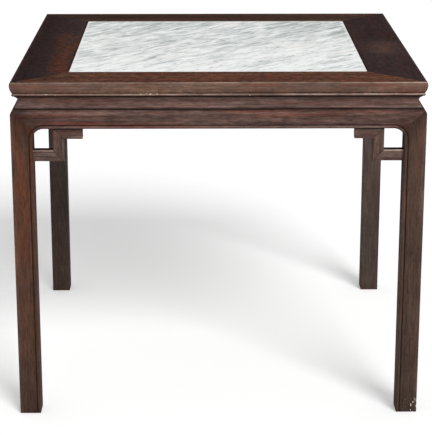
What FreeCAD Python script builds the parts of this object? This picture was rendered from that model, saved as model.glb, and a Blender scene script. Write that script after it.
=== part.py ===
import FreeCAD, Part
import os
from FreeCAD import Vector

# Square table for eight, waisted, with a stone panel let into a mitred frame top.
# Everything is held by joinery: the frame's stiles are tenoned into its ends, each leg
# carries two tenons up into the frame, the aprons wrap the legs with a mitred shoulder,
# and small hooked spandrels of mitred sticks brace the corner of every opening.
#
# Frame of reference: millimetres, +Z up, X to the right, Y to the back.
# The origin is on the floor, under the middle of the table.

# ---- overall size ----
side = 960.0            # width and depth, over the widest part of the top's moulded edge
height = 815.0          # floor to the top of the frame

# ---- top frame ----
frame_width = 127.0     # width of each member, as seen from above
frame_thick = 33.5
edge_crown_drop = 8.0   # depth below the top at which the moulded edge is widest
edge_neck_drop = 25.5   # foot of the swelled face, where the bead begins
edge_neck_inset = 5.4
arris_inset = 2.8       # where the worn arris meets the flat top
arris_drop = 1.3
arris_foot_share = 0.45     # lower end of the arris, as a share of its inset
arris_bulge_in = 0.68       # middle of the arris, as a share of its inset
arris_bulge_down = 0.25     # and as a share of its drop
upper_swell_share = 0.12    # inset midway from arris to crown, as a share of the arris's
lower_swell_share = 0.28    # inset midway from crown to neck, as a share of the neck's
bead_nick = 0.9         # step in from the swelled face to the bead
edge_bead_swell = 2.6   # how far the bead bulges from its two roots
edge_foot_inset = 7.4   # lower edge of the frame

# ---- stone panel and its braces ----
stone_thick = 14.0
stone_drop = 0.6        # top of the stone below the top of the frame
stone_gap = 0.7         # play round the stone
stone_chamfer = 0.8
ledge_width = 10.0      # rebate that carries the stone
brace_count = 3
brace_width = 40.0
brace_depth = 26.0
brace_tenon_thick = 9.0
brace_tenon_length = 22.0
brace_tenon_cover = 4.0     # wood above the tenon, below the stone's rebate

# ---- waist: a hollowed strip between frame and apron ----
waist_height = 30.5
waist_top_inset = 10.0
waist_deep_inset = 18.0
waist_foot_inset = 8.5
waist_lip_inset = 12.5      # arris between the hollow and the sloping foot
waist_lip_rise = 5.5        # its height above the foot
waist_back_inset = 24.0
tongue_thick = 5.0
tongue_height = 3.0
tongue_inset = 16.0

# ---- apron ----
apron_height = 44.5
apron_thick = 30.0
apron_top_inset = 8.0       # the shoulder slopes from here out to the flat face
shoulder_bend_drop = 5.5    # where the slope begins to round over, below the apron's top
shoulder_bend_inset = 2.4
shoulder_swell_share = 0.3  # inset midway down the bend, as a share of the one at its top
shoulder_drop = 12.0        # where it has become the flat face
skin_thick = 14.0           # part of the apron that laps over the leg
wrap_tenon_thick = 8.0
wrap_tenon_length = 22.0
wrap_tenon_inset = 16.0
wrap_tenon_steepness = 2.0  # slope of its lower edge against that of the mitre
corner_radius = 26.0        # rounded inner corner where apron and leg meet

# ---- line cut beside the lower edge of the apron and the inner edge of the leg ----
line_bead_width = 7.0
line_groove_width = 2.6
line_groove_depth = 1.2

# ---- legs ----
leg_width = 50.0
leg_arris_radius = 2.0
foot_chamfer = 1.5
long_tenon = 24.0
short_tenon = 15.0
leg_tenon_thick = 10.0
leg_tenon_margin = 1.5

# ---- tenons between the stiles and the ends of the frame ----
corner_tenon_thick = 11.0
corner_tenon_drop = 15.5    # top of the tenon below the top of the frame
corner_tenon_cheek = 12.0   # wood between the tenon and the inner edge of the frame
corner_tenon_width = 46.0
corner_tenon_cover = 25.0   # wood left beyond the tenon's end

# ---- spandrels ----
stick_face = 26.5           # face width of the sticks
stick_depth = 24.0
stick_round = 2.5           # eased front arrises
spandrel_recess = 11.0      # front of the sticks behind the face of the apron
window_width = 46.0         # opening between leg and upright
spandrel_drop = 79.5        # from the apron's lower edge to the spandrel's lower edge
hook_length = 42.5          # upper stick beyond the upright
stub_thick = 8.0            # tenons within the mitred corners of the sticks
stub_margin = 6.0
loose_tenon_thick = 8.0
loose_tenon_width = 15.0
loose_tenon_length = 24.0

# ---- fits ----
slip = 0.15                 # clearance at each cheek of a tenon
end_gap = 0.8               # clearance beyond the end of a tenon

# ---- cutting ----
cutter_margin = 1.0         # how far a cutter stands clear of the face that it enters
tiny = 1e-6                 # lengths closer than this are the same

half = side / 2
leg_in = half - leg_width               # inner faces of the legs
frame_bottom = height - frame_thick
apron_top = frame_bottom - waist_height
apron_bottom = apron_top - apron_height
block_out = half - waist_back_inset     # outer faces of the leg's upper block
stone_seat = height - stone_drop - stone_thick
sight = half - frame_width              # half the visible size of the stone


def block(x, y, z):
    """Box between the given pairs of coordinates."""
    low = [min(pair) for pair in (x, y, z)]
    size = [abs(pair[1] - pair[0]) for pair in (x, y, z)]
    return Part.makeBox(*size, Vector(*low))


def outline(start, steps):
    """Closed wire from vectors. A step is an end point, or (middle, end) for an arc."""
    edges = []
    here = start
    for step in steps + [start]:
        if isinstance(step, tuple):
            edges.append(Part.Arc(here, step[0], step[1]).toShape())
            here = step[1]
        elif step.distanceToPoint(here) > tiny:
            edges.append(Part.LineSegment(here, step).toShape())
            here = step
    return Part.Wire(edges)


def in_section(inset, z):
    """Point of the front side's cross-section: so far in from the front, at height z."""
    return Vector(0, -half + inset, z)


def run_of(start, steps, reach):
    """Front moulding: a section outline, run from -reach to +reach along X."""
    shift = Vector(-reach, 0, 0)
    wire = outline(start, steps)
    wire.translate(shift)
    return Part.Face(wire).extrude(Vector(2 * reach, 0, 0))


def on_front(points, y0, y1):
    """Prism over a polygon of (x, z) points, between two planes parallel to the front."""
    wire = Part.makePolygon([Vector(x, y0, z) for x, z in points + points[:1]])
    return Part.Face(wire).extrude(Vector(0, y1 - y0, 0))


def across(shape):
    """Mirror image from left to right."""
    return shape.mirror(Vector(0, 0, 0), Vector(1, 0, 0))


def behind(shape):
    """Mirror image from front to back."""
    return shape.mirror(Vector(0, 0, 0), Vector(0, 1, 0))


def diagonal(shape):
    """Mirror image about the diagonal of the front left corner: front becomes left."""
    return shape.mirror(Vector(0, 0, 0), Vector(1, -1, 0))


def both_ends(shape):
    """The shape and its mirror image from left to right."""
    return [shape, across(shape)]


def four_corners(shape):
    """The shape at the front left corner and its images at the other three."""
    return both_ends(shape) + both_ends(behind(shape))


def all_round(front):
    """The front's shape on all four sides, in the order front, back, left, right."""
    left = diagonal(front)
    return {"front": front, "back": behind(front), "left": left, "right": across(left)}


def grown(x, y, z, play):
    """Box grown by the play on every face."""
    return block(*[(min(pair) - play, max(pair) + play) for pair in (x, y, z)])


def joined(shapes):
    """One clean solid from touching or overlapping ones."""
    return shapes[0].fuse(shapes[1:]).removeSplitter()


# The quarter of the plan that belongs to the front: between the two diagonals.
front_quarter = Part.Face(Part.makePolygon([
    Vector(0, 0, 0), Vector(-side, -side, 0), Vector(side, -side, 0), Vector(0, 0, 0),
])).extrude(Vector(0, 0, 2 * height))


# ---- top frame ----
def frame_member():
    """Front member of the frame: moulded edge, stone rebate, mitred ends."""
    def point(inset, drop):
        return in_section(inset, height - drop)

    crown = point(0, edge_crown_drop)
    arris_foot = point(arris_inset * arris_foot_share, arris_drop)
    bead_root = edge_neck_inset + bead_nick
    bead_mid = (edge_neck_drop + frame_thick) / 2
    bead_face = (bead_root + edge_foot_inset) / 2 - edge_bead_swell
    seat_drop = stone_drop + stone_thick
    member = run_of(point(arris_inset, 0), [
        point(frame_width, 0),
        point(frame_width, seat_drop),
        point(frame_width + ledge_width, seat_drop),
        point(frame_width + ledge_width, frame_thick),
        point(edge_foot_inset, frame_thick),
        (point(bead_face, bead_mid), point(bead_root, edge_neck_drop)),
        point(edge_neck_inset, edge_neck_drop),
        (point(edge_neck_inset * lower_swell_share, (edge_crown_drop + edge_neck_drop) / 2), crown),
        (point(arris_inset * upper_swell_share, (edge_crown_drop + arris_drop) / 2), arris_foot),
        (point(arris_inset * arris_bulge_in, arris_drop * arris_bulge_down), point(arris_inset, 0)),
    ], half)
    waist_groove = block(
        (-half, half),
        (-half + tongue_inset - slip, -half + tongue_inset + tongue_thick + slip),
        (frame_bottom, frame_bottom + tongue_height + end_gap),
    )
    return member.cut(waist_groove).common(front_quarter)


corner_tenon_y = (-(sight + corner_tenon_cheek), -(sight + corner_tenon_cheek + corner_tenon_width))
corner_tenon_x = (-sight, -(half - corner_tenon_cover))
corner_tenon_z = (height - corner_tenon_drop - corner_tenon_thick, height - corner_tenon_drop)
corner_tenon = block(corner_tenon_x, corner_tenon_y, corner_tenon_z)
corner_mortise = grown(
    (corner_tenon_x[0], corner_tenon_x[1] - end_gap), corner_tenon_y, corner_tenon_z, slip,
)

# Each leg's upper block carries a long tenon into the stile and a short one into the end.
near = leg_in + leg_tenon_margin
far = block_out - leg_tenon_margin
tenon_reach = far - leg_tenon_thick - leg_tenon_margin
stile_tenon_plan = ((-near, -tenon_reach), (-far, -far + leg_tenon_thick))
end_tenon_plan = (stile_tenon_plan[1], stile_tenon_plan[0])


def leg_tenon(plan, length, root=0.0, play=0.0, spare=0.0):
    """Upright tenon over a plan rectangle, from the frame's underside up."""
    (x0, x1), (y0, y1) = [(min(pair) - play, max(pair) + play) for pair in plan]
    return block((x0, x1), (y0, y1), (frame_bottom - root, frame_bottom + length + spare))


leg_mortises = [
    mortise
    for plan, length in ((stile_tenon_plan, long_tenon), (end_tenon_plan, short_tenon))
    for mortise in four_corners(leg_tenon(plan, length, 0.0, slip, end_gap))
]

# ---- braces under the stone ----
brace_end = sight - ledge_width
brace_step = 2 * brace_end / (brace_count + 1)
brace_places = [brace_step * (i + 1) - brace_end for i in range(brace_count)]
brace_tenon_z = (stone_seat - brace_tenon_cover - brace_tenon_thick, stone_seat - brace_tenon_cover)
brace_mortises = []
braces = []
for place in brace_places:
    x = (place - brace_width / 2, place + brace_width / 2)
    tip = brace_end + brace_tenon_length
    bar = block(x, (-brace_end, brace_end), (stone_seat - brace_depth, stone_seat))
    tenon = block(x, (-tip, tip), brace_tenon_z)
    braces.append(joined([bar, tenon]))
    brace_mortises.append(grown(x, (-tip - end_gap, tip + end_gap), brace_tenon_z, slip))

front_member = frame_member()
stile = joined([front_member] + both_ends(corner_tenon))
stile = stile.cut(leg_mortises + brace_mortises)
end_left = diagonal(front_member).cut(leg_mortises + four_corners(corner_mortise))

stone_half = sight - stone_gap
stone = block((-stone_half, stone_half), (-stone_half, stone_half), (stone_seat, stone_seat + stone_thick))
stone_arrises = [e for e in stone.Edges if e.BoundBox.ZMin > stone_seat + stone_thick / 2]
stone = stone.makeChamfer(stone_chamfer, stone_arrises)


# ---- waist ----
def waist_strip():
    """Hollowed strip with mitred ends and a tongue above and below."""
    lip = apron_top + waist_lip_rise
    strip = run_of(in_section(waist_top_inset, frame_bottom), [
        in_section(waist_back_inset, frame_bottom),
        in_section(waist_back_inset, apron_top),
        in_section(waist_foot_inset, apron_top),
        in_section(waist_lip_inset, lip),
        (in_section(waist_deep_inset, (lip + frame_bottom) / 2), in_section(waist_top_inset, frame_bottom)),
    ], half)
    tongue_y = (-half + tongue_inset, -half + tongue_inset + tongue_thick)
    upper = block((-half, half), tongue_y, (frame_bottom, frame_bottom + tongue_height))
    lower_reach = leg_in - slip
    lower = block((-lower_reach, lower_reach), tongue_y, (apron_top - tongue_height, apron_top))
    return joined([strip, upper, lower]).common(front_quarter)


# ---- apron and leg ----
# The mitre on each face runs from the top outer corner of the leg down to the corner
# between leg and apron, and on across the rounded web in that corner.
mitre_slope = apron_height / leg_width
mitre_run = leg_width + corner_radius
above_mitre_points = [
    (-half, apron_top),
    (-half + mitre_run, apron_top - mitre_run * mitre_slope),
    (-half + mitre_run, apron_top),
]
lap = on_front(above_mitre_points, -half, -half + skin_thick).common(
    block((-half, -leg_in), (-half, -half + skin_thick), (apron_bottom, apron_top))
).common(front_quarter)

web_box = block(
    (-leg_in, -leg_in + corner_radius),
    (-half, -half + apron_thick),
    (apron_bottom - corner_radius, apron_bottom),
)
web_hollow = Part.makeCylinder(
    corner_radius, apron_thick, Vector(-leg_in + corner_radius, -half, apron_bottom - corner_radius),
    Vector(0, 1, 0),
)
web = web_box.cut(web_hollow)
above_mitre = on_front(above_mitre_points, -half, -half + apron_thick)

wrap_tenon_y = (-half + wrap_tenon_inset, -half + wrap_tenon_inset + wrap_tenon_thick)
wrap_tenon_slope = wrap_tenon_steepness * mitre_slope
wrap_tenon = on_front([
    (-leg_in, apron_top),
    (-leg_in - wrap_tenon_length, apron_top),
    (-leg_in, apron_top - wrap_tenon_length * wrap_tenon_slope),
], *wrap_tenon_y)
wrap_mortise = on_front([
    (-leg_in, apron_top),
    (-leg_in - wrap_tenon_length - end_gap, apron_top),
    (-leg_in, apron_top - (wrap_tenon_length + end_gap) * wrap_tenon_slope),
], wrap_tenon_y[0] - slip, wrap_tenon_y[1] + slip)


def behind_shoulder():
    """Everything behind the front's flat face and sloping shoulder, up to the apron's top."""
    return run_of(in_section(0, -foot_chamfer), [
        in_section(0, apron_top - shoulder_drop),
        (in_section(shoulder_bend_inset * shoulder_swell_share,
                    apron_top - (shoulder_drop + shoulder_bend_drop) / 2),
         in_section(shoulder_bend_inset, apron_top - shoulder_bend_drop)),
        in_section(apron_top_inset, apron_top),
        in_section(side, apron_top),
        in_section(side, -foot_chamfer),
    ], half)


envelope = behind_shoulder()
for limit in list(all_round(envelope).values())[1:]:
    envelope = envelope.common(limit)


def portal(offset):
    """The opening under the apron, grown by an offset, as a thin plate at the front face."""
    x = leg_in + offset
    top = apron_bottom + offset
    radius = corner_radius + offset
    y = (-half - cutter_margin, -half + line_groove_depth)
    plate = block((-x, x), y, (-cutter_margin, top))
    corners = [
        e for e in plate.Edges if abs(e.BoundBox.YLength - (y[1] - y[0])) < tiny and e.BoundBox.ZMin > 0
    ]
    return plate.makeFillet(radius, corners)


front_line = portal(line_bead_width + line_groove_width).cut(portal(line_bead_width))

# Loose tenons that hold a spandrel: one into the leg, one into the apron.
stick_y = (-half + spandrel_recess, -half + spandrel_recess + stick_depth)
stick_middle = (stick_y[0] + stick_y[1]) / 2
loose_y = (stick_middle - loose_tenon_thick / 2, stick_middle + loose_tenon_thick / 2)
spandrel_bottom = apron_bottom - spandrel_drop
lower_middle = spandrel_bottom + stick_face / 2
hook_start = -leg_in + window_width + stick_face
hook_end = hook_start + hook_length
hook_middle = (hook_start + hook_end) / 2
leg_loose = (
    (-leg_in - loose_tenon_length / 2, -leg_in + loose_tenon_length / 2),
    loose_y,
    (lower_middle - loose_tenon_width / 2, lower_middle + loose_tenon_width / 2),
)
apron_loose = (
    (hook_middle - loose_tenon_width / 2, hook_middle + loose_tenon_width / 2),
    loose_y,
    (apron_bottom - loose_tenon_length / 2, apron_bottom + loose_tenon_length / 2),
)


def apron():
    """Front apron: sloped shoulder, laps over both legs, rounded inner corners."""
    body = block((-leg_in, leg_in), (-half, -half + apron_thick), (apron_bottom, apron_top))
    ends = both_ends(lap) + both_ends(web.common(above_mitre)) + both_ends(wrap_tenon)
    board = joined([body] + ends).common(envelope)
    tongue_groove = block(
        (-leg_in, leg_in),
        (-half + tongue_inset - slip, -half + tongue_inset + tongue_thick + slip),
        (apron_top - tongue_height - end_gap, apron_top),
    )
    return board.cut([front_line, tongue_groove] + both_ends(grown(*apron_loose, slip)))


def leg():
    """Front left leg: post, rounded webs, wrapped shoulder, upper block and two tenons."""
    corner = (-half, -leg_in)
    post = block(corner, corner, (0, apron_top))
    outer = [
        e for e in post.Edges
        if e.BoundBox.XMax < -half + tiny and e.BoundBox.YMax < -half + tiny
    ]
    post = post.makeFillet(leg_arris_radius, outer)
    foot = [e for e in post.Edges if e.BoundBox.ZMax < tiny]
    post = post.makeChamfer(foot_chamfer, foot)
    upper = block((-block_out, -leg_in), (-block_out, -leg_in), (apron_top, frame_bottom))
    leg_web = web.cut(above_mitre)
    solid = joined([
        post.common(envelope), leg_web, diagonal(leg_web), upper,
        leg_tenon(stile_tenon_plan, long_tenon, waist_height),
        leg_tenon(end_tenon_plan, short_tenon, waist_height),
    ])
    cuts = [lap, wrap_mortise, front_line, grown(*leg_loose, slip)]
    return solid.cut(cuts + [diagonal(tool) for tool in cuts])


# ---- spandrels ----
def stick(x, z, along):
    """Straight stick with its two long front arrises eased. along is 'X' or 'Z'."""
    bar = block(x, stick_y, z)
    front = [
        e for e in bar.Edges
        if e.BoundBox.YMax < stick_y[0] + tiny
        and (e.BoundBox.XLength if along == "X" else e.BoundBox.ZLength) > tiny
    ]
    return bar.makeFillet(stick_round, front)


def spandrel():
    """Lower stick, upright and upper stick of the spandrel at the front's left end."""
    inner = -leg_in + window_width
    outer = inner + stick_face
    low = spandrel_bottom
    high = apron_bottom
    wide = stick_face
    # prisms on the far side of each mitre: below the lower one, above the upper one
    below = on_front([(inner, low + wide), (outer, low), (outer, low - wide), (inner, low - wide)], *stick_y)
    above = on_front([(inner, high), (outer, high - wide), (outer, high + wide), (inner, high + wide)], *stick_y)
    lower = stick((-leg_in, outer), (low, low + wide), "X")
    lower = lower.cut(block((inner, outer), stick_y, (low, high)).cut(below))
    upright = stick((inner, outer), (low, high), "Z").cut([below, above])
    upper = stick((inner, hook_end), (high - wide, high), "X")
    upper = upper.cut(block((inner, outer), stick_y, (low, high)).cut(above))
    stub_x = (inner + stub_margin, outer - stub_margin)
    stub_y = (stick_middle - stub_thick / 2, stick_middle + stub_thick / 2)
    stub_z = (low + stub_margin, high - stub_margin)
    upright = joined([upright, block(stub_x, stub_y, stub_z)])
    mortise = grown(stub_x, stub_y, stub_z, slip)
    return {
        "lower_stick": lower.cut([mortise, grown(*leg_loose, slip)]),
        "upright": upright,
        "upper_stick": upper.cut([mortise, grown(*apron_loose, slip)]),
    }


# ---- the pieces, by name ----
pieces = {
    "top_stile_front": stile,
    "top_stile_back": behind(stile),
    "top_end_left": end_left,
    "top_end_right": across(end_left),
    "marble_panel": stone,
}
for number, brace in enumerate(braces, 1):
    pieces[f"stone_brace_{number}"] = brace
for name, shape in all_round(waist_strip()).items():
    pieces[f"waist_{name}"] = shape
for name, shape in all_round(apron()).items():
    pieces[f"apron_{name}"] = shape
leg_names = ("front_left", "front_right", "back_left", "back_right")
for name, shape in zip(leg_names, four_corners(leg())):
    pieces[f"leg_{name}"] = shape

for kind, left_end in spandrel().items():
    for at_end, front_shape in enumerate(both_ends(left_end)):
        for face, shape in all_round(front_shape).items():
            # the front's left end becomes the front end of the left and right faces
            ends = ("left", "right") if face in ("front", "back") else ("front", "back")
            pieces[f"spandrel_{face}_{ends[at_end]}_{kind}"] = shape

for name, size in (("leg", leg_loose), ("apron", apron_loose)):
    pins = [
        shape
        for front_pin in both_ends(block(*size))
        for shape in all_round(front_pin).values()
    ]
    pieces[f"spandrel_{name}_tenons"] = Part.makeCompound(pins)

os.makedirs("parts", exist_ok=True)
for name, shape in pieces.items():
    shape.exportStep(f"parts/{name}.step")
    print(f"{name}: {len(shape.Solids)} solid, valid {shape.isValid()}, {shape.Volume / 1000:.1f} cm3")
print(len(pieces), "nodes")
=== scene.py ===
"""Square table for eight with a stone top: its pieces, finishes, camera and stage."""

import math

import bmesh
import bpy
import numpy as np
from mathutils import Matrix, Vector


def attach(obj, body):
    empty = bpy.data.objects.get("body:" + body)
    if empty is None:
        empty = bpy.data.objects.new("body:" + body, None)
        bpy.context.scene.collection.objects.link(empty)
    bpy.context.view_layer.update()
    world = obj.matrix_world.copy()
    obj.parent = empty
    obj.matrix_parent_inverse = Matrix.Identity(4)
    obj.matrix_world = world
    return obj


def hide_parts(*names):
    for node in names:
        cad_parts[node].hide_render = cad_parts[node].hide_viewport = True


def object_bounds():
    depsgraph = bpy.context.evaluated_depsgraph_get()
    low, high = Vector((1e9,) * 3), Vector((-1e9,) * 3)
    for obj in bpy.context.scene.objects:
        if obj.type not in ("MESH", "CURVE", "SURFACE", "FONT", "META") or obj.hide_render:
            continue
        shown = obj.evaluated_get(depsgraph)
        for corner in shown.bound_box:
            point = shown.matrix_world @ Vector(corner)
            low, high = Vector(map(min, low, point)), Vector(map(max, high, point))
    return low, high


bl_info = {
    "name": "Eight-Seat Table",
    "version": (1, 0, 0),
    "blender": (4, 5, 0),
    "location": "3D View > Sidebar > Eight-Seat Table",
    "description": "Builds and finishes the pieces of a square waisted table with a stone top",
    "category": "Object",
}

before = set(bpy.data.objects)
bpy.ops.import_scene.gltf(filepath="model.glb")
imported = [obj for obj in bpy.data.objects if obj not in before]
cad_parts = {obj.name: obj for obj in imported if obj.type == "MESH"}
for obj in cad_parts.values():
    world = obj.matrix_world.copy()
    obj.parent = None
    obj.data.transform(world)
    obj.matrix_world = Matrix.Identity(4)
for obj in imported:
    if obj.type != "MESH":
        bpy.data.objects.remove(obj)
cad_low, cad_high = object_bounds()

MM = 0.001
BODY = "root"
# the rubbed mark also paints highlights, the grime mark also paints shade, and the faded mark also paints
# light
MARKS = ("rubbed", "grime", "warmth", "faded", "chipped")
CRISP_ANGLE = math.radians(32)  # faces that meet more sharply than this keep a crisp edge
SAME_POINT = 0.01 * MM  # points closer than this are merged
NO_EDGE = 0.005 * MM  # edges shorter than this are dropped
HAIR = 1e-6  # metres by which a length may miss its limit
GRAIN_SPREAD = 20.0  # metres either way within which a board takes its place in the grain
# the sides, each a quarter turn on from the last, with what its left and its right end point at
SIDE_ENDS = {
    "front": ("left", "right"),
    "right": ("front", "back"),
    "back": ("right", "left"),
    "left": ("back", "front"),
}


def linear(code):
    """Linear colour of an sRGB hex value."""
    parts = [int(code[i : i + 2], 16) / 255 for i in (1, 3, 5)]
    return tuple(c / 12.92 if c <= 0.04045 else ((c + 0.055) / 1.055) ** 2.4 for c in parts)


def number(name, description, default, **more):
    return bpy.props.FloatProperty(name=name, description=description, default=default, **more)


def length(name, description, millimetres):
    return number(name, description, millimetres * MM, min=0, precision=4, unit="LENGTH")


def angle(name, description, degrees):
    return number(name, description, math.radians(degrees), subtype="ANGLE")


def colour(name, description, code):
    return bpy.props.FloatVectorProperty(
        name=name, description=description, default=linear(code), min=0, max=1, size=3, subtype="COLOR"
    )


# ---- sizes, finishes and stage settings ----
class TableSizes(bpy.types.PropertyGroup):
    """Sizes of the joinery."""

    side: length("Side", "Width and depth over the moulded edge", (cad_high.x - cad_low.x) / MM)
    height: length("Height", "Floor to the top of the frame", (cad_high.z - cad_low.z) / MM)
    frame_width: length("Frame width", "Width of a frame member seen from above", 127)
    frame_thickness: length("Frame thickness", "Top to underside of the frame", 33.5)
    ledge: length("Stone ledge", "Width of the rebate that carries the stone", 10)
    stone_thickness: length("Stone thickness", "Thickness of the stone panel", 14)
    stone_drop: length("Stone drop", "Top of the stone below the top of the frame", 0.6)
    stone_gap: length("Stone gap", "Play between the stone and the frame", 0.7)
    waist_height: length("Waist height", "Height of the hollowed strip", 30.5)
    waist_back: length("Waist back", "Back of the waist strip behind the edge of the top", 24)
    apron_height: length("Apron height", "Height of the apron", 44.5)
    apron_thickness: length("Apron thickness", "Thickness of the apron between the legs", 30)
    lap_thickness: length("Lap thickness", "Part of the apron that laps over the leg", 14)
    corner_radius: length("Corner radius", "Rounded inner corner of apron and leg", 26)
    leg_width: length("Leg width", "Width and depth of a leg", 50)
    stick_face: length("Stick face", "Face width of a spandrel stick", 26.5)
    stick_depth: length("Stick depth", "Front to back of a spandrel stick", 24)
    spandrel_recess: length("Spandrel recess", "Face of the spandrel behind the face of the apron", 11)
    spandrel_window: length("Spandrel window", "Opening between leg and upright", 46)
    spandrel_drop: length("Spandrel drop", "Lower edge of the apron to the foot of the spandrel", 79.5)
    spandrel_hook: length("Spandrel hook", "Upper stick beyond the upright", 42.5)
    joint_gap: length("Joint gap", "Half of the hairline left open at a mitre", 0.05)
    plane_marks: length("Plane marks", "Depth of the unevenness left by the hand plane", 0.25)


class TableFinish(bpy.types.PropertyGroup):
    """Colours of the wood and the stone."""

    top_wood: colour("Top wood", "Body colour of the front and back members of the top", "#4F2E22")
    end_wood: colour("End wood", "Body colour of the left and right members of the top", "#281818")
    waist_wood: colour("Waist wood", "Body colour of the waist", "#634F48")
    side_wood: colour("Apron wood", "Body colour of the aprons", "#604A43")
    leg_wood: colour("Leg wood", "Body colour of the legs", "#4F4139")
    hook_wood: colour("Spandrel wood", "Body colour of the spandrels", "#625049")
    # also a painted sheen on the moulded edge and on a patch of the right member
    faded_wood: colour("Faded wood", "Moulded edge of the top, greyed by light and hands", "#786358")
    dark_figure: colour("Dark figure", "Dark streaks of the wood", "#2A1A16")
    red_figure: colour("Red figure", "Dull red streaks of the wood", "#6E3A2E")
    warm_figure: colour("Warm figure", "Russet places that light and hands have warmed", "#5E2E15")
    golden_figure: colour("Golden figure", "Olive brown streaks of the top", "#604A35")
    # also painted light on the back left leg
    greyed_wax_and_light: colour("Greyed wax", "Old wax that has bloomed grey", "#5E5452")
    # also the colour of painted highlights on arrises and beads
    rubbed_wood: colour("Rubbed wood", "Arrises where the polish has been rubbed away", "#D2BBB0")
    chipped_wood: colour("Chipped wood", "Small chips that show pale dry wood", "#D8D0C8")
    brace_wood: colour("Brace wood", "Bare wood of the braces and loose tenons", "#8A7560")
    stone: colour("Stone", "White flecks of the marble", "#FBFDFC")
    stone_cloud: colour("Stone cloud", "Grey ground of the marble", "#A5ADAB")
    stone_vein: colour("Stone vein", "Thin veins of the marble", "#7E8383")
    stone_tint: colour("Stone tint", "Warm tint in some beds of the marble", "#E2D8D0")
    # a painted highlight along the stone's edge
    stone_rim_highlight: colour("Stone rim", "Scuffed white edge of the stone", "#F6F3EF")


class StageSettings(bpy.types.PropertyGroup):
    """Camera, light and floor."""

    place: bpy.props.FloatVectorProperty(
        name="Camera place", description="Where the camera stands", default=(-0.0398, -4.145, 1.580),
        subtype="XYZ", unit="LENGTH",
    )
    pitch: angle("Pitch", "How far the camera looks down", 16.511)
    turn: angle("Turn", "How far the camera turns right", 0.524)
    lens: number("Lens", "Focal length", 135.18, unit="CAMERA")
    sensor: number("Sensor", "Width of the camera's sensor", 36, unit="CAMERA")
    key_side: angle("Key side", "Key light, right of the camera", 25)
    key_height: angle("Key height", "Key light above the horizon", 35)
    key_softness: angle("Key softness", "Breadth of the key light as seen from the table", 26)
    key_strength: number("Key strength", "Light of the key lamp, in watts per square metre", 2.55, min=0)
    fill_strength: number("Fill strength", "Even light from the walls and ceiling", 0.42, min=0)
    floor: colour("Floor", "Pale studio floor", "#EFEFEF")
    floor_reach: length("Floor reach", "Middle of the floor to its edges", 60000)
    floor_drop: length("Floor drop", "Floor below the feet, which would flicker if they met it", 0.3)
    floor_lift: number("Floor lift", "Makes the lit floor white to the camera", 0.3, min=0, max=1)


# ---- nodes ----
def add_node(tree, kind, links=(), **settings):
    """Add a node and give its outputs. A link is an input's name or number, with a socket or a value."""
    made = tree.nodes.new(kind)
    for name, value in settings.items():
        setattr(made, name, value)
    for key, value in dict(links).items():
        if isinstance(value, bpy.types.NodeSocket):
            tree.links.new(value, made.inputs[key])
        else:
            made.inputs[key].default_value = value
    return made.outputs


def emptied(owner):
    """The node tree of a material or a world, without nodes."""
    owner.use_nodes = True
    owner.node_tree.nodes.clear()
    return owner.node_tree


def seen_directly(tree):
    """One for what the camera sees, also in a reflection or through glass, and zero for other light."""
    ray = add_node(tree, "ShaderNodeLightPath")
    seen = ray["Is Camera Ray"]
    for other in ("Is Glossy Ray", "Is Transmission Ray"):
        seen = add_node(tree, "ShaderNodeMath", {0: seen, 1: ray[other]}, operation="MAXIMUM")[0]
    return seen


# ---- outlines ----
def bow(start, middle, end, steps=6):
    """Points of a smooth curve from start through middle, up to but without end."""
    start, middle, end = (np.array(p, float) for p in (start, middle, end))
    pull = 2 * middle - (start + end) / 2
    t = np.linspace(0, 1, steps + 1)[:-1, None]
    return list((1 - t) ** 2 * start + 2 * t * (1 - t) * pull + t**2 * end)


def eased(corners, steps=3):
    """Closed outline of (u, v, radius) corners, each rounded by its radius."""
    points = []
    for i, (u, v, radius) in enumerate(corners):
        here = np.array((u, v), float)
        if radius == 0:
            points.append(here)
            continue
        before = np.array(corners[i - 1][:2], float) - here
        after = np.array(corners[(i + 1) % len(corners)][:2], float) - here
        start = here + before * radius / np.linalg.norm(before)
        end = here + after * radius / np.linalg.norm(after)
        points += bow(start, (start + 2 * here + end) / 4, end, steps) + [end]
    return points


def divided(outline, longest):
    """The closed outline with points added, so that no side is longer than wanted."""
    points = []
    for start, end in zip(outline, outline[1:] + outline[:1]):
        start, end = np.array(start, float), np.array(end, float)
        steps = max(1, math.ceil(np.linalg.norm(end - start) / longest))
        points += [start + (end - start) * step / steps for step in range(steps)]
    return points


# ---- meshes ----
def loft(rings):
    """Closed mesh through rings of points, given as an array of ring, point and axis."""
    count, size = rings.shape[:2]
    index = np.arange(count * size).reshape(count, size)
    ahead = np.roll(index, -1, axis=1)
    faces = np.stack([index[:-1], ahead[:-1], ahead[1:], index[1:]], axis=-1).reshape(-1, 4).tolist()
    mesh = bpy.data.meshes.new("loft")
    mesh.from_pydata(rings.reshape(-1, 3).tolist(), [], faces + [index[0].tolist(), index[-1].tolist()])
    return mesh


def closed(mesh):
    """Merge doubled points, drop faces without area and turn all faces outwards."""
    shell = bmesh.new()
    shell.from_mesh(mesh)
    bmesh.ops.remove_doubles(shell, verts=shell.verts, dist=SAME_POINT)
    bmesh.ops.dissolve_degenerate(shell, edges=shell.edges, dist=NO_EDGE)
    bmesh.ops.recalc_face_normals(shell, faces=shell.faces)
    open_edges = [e for e in shell.edges if not e.is_manifold]
    if open_edges:
        raise RuntimeError(f"{mesh.name} has {len(open_edges)} open edges")
    if shell.calc_volume(signed=True) < 0:
        bmesh.ops.reverse_faces(shell, faces=shell.faces)
    shell.to_mesh(mesh)
    shell.free()
    return mesh


def points_of(mesh):
    flat = np.empty(len(mesh.vertices) * 3)
    mesh.vertices.foreach_get("co", flat)
    return flat.reshape(-1, 3)


def write_marks(mesh, name, values):
    """Store one number or vector for each point of the mesh."""
    kind, field = ("FLOAT_VECTOR", "vector") if values.ndim == 2 else ("FLOAT", "value")
    layer = mesh.attributes.get(name) or mesh.attributes.new(name, kind, "POINT")
    layer.data.foreach_set(field, values.astype(np.float32).ravel())


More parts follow.
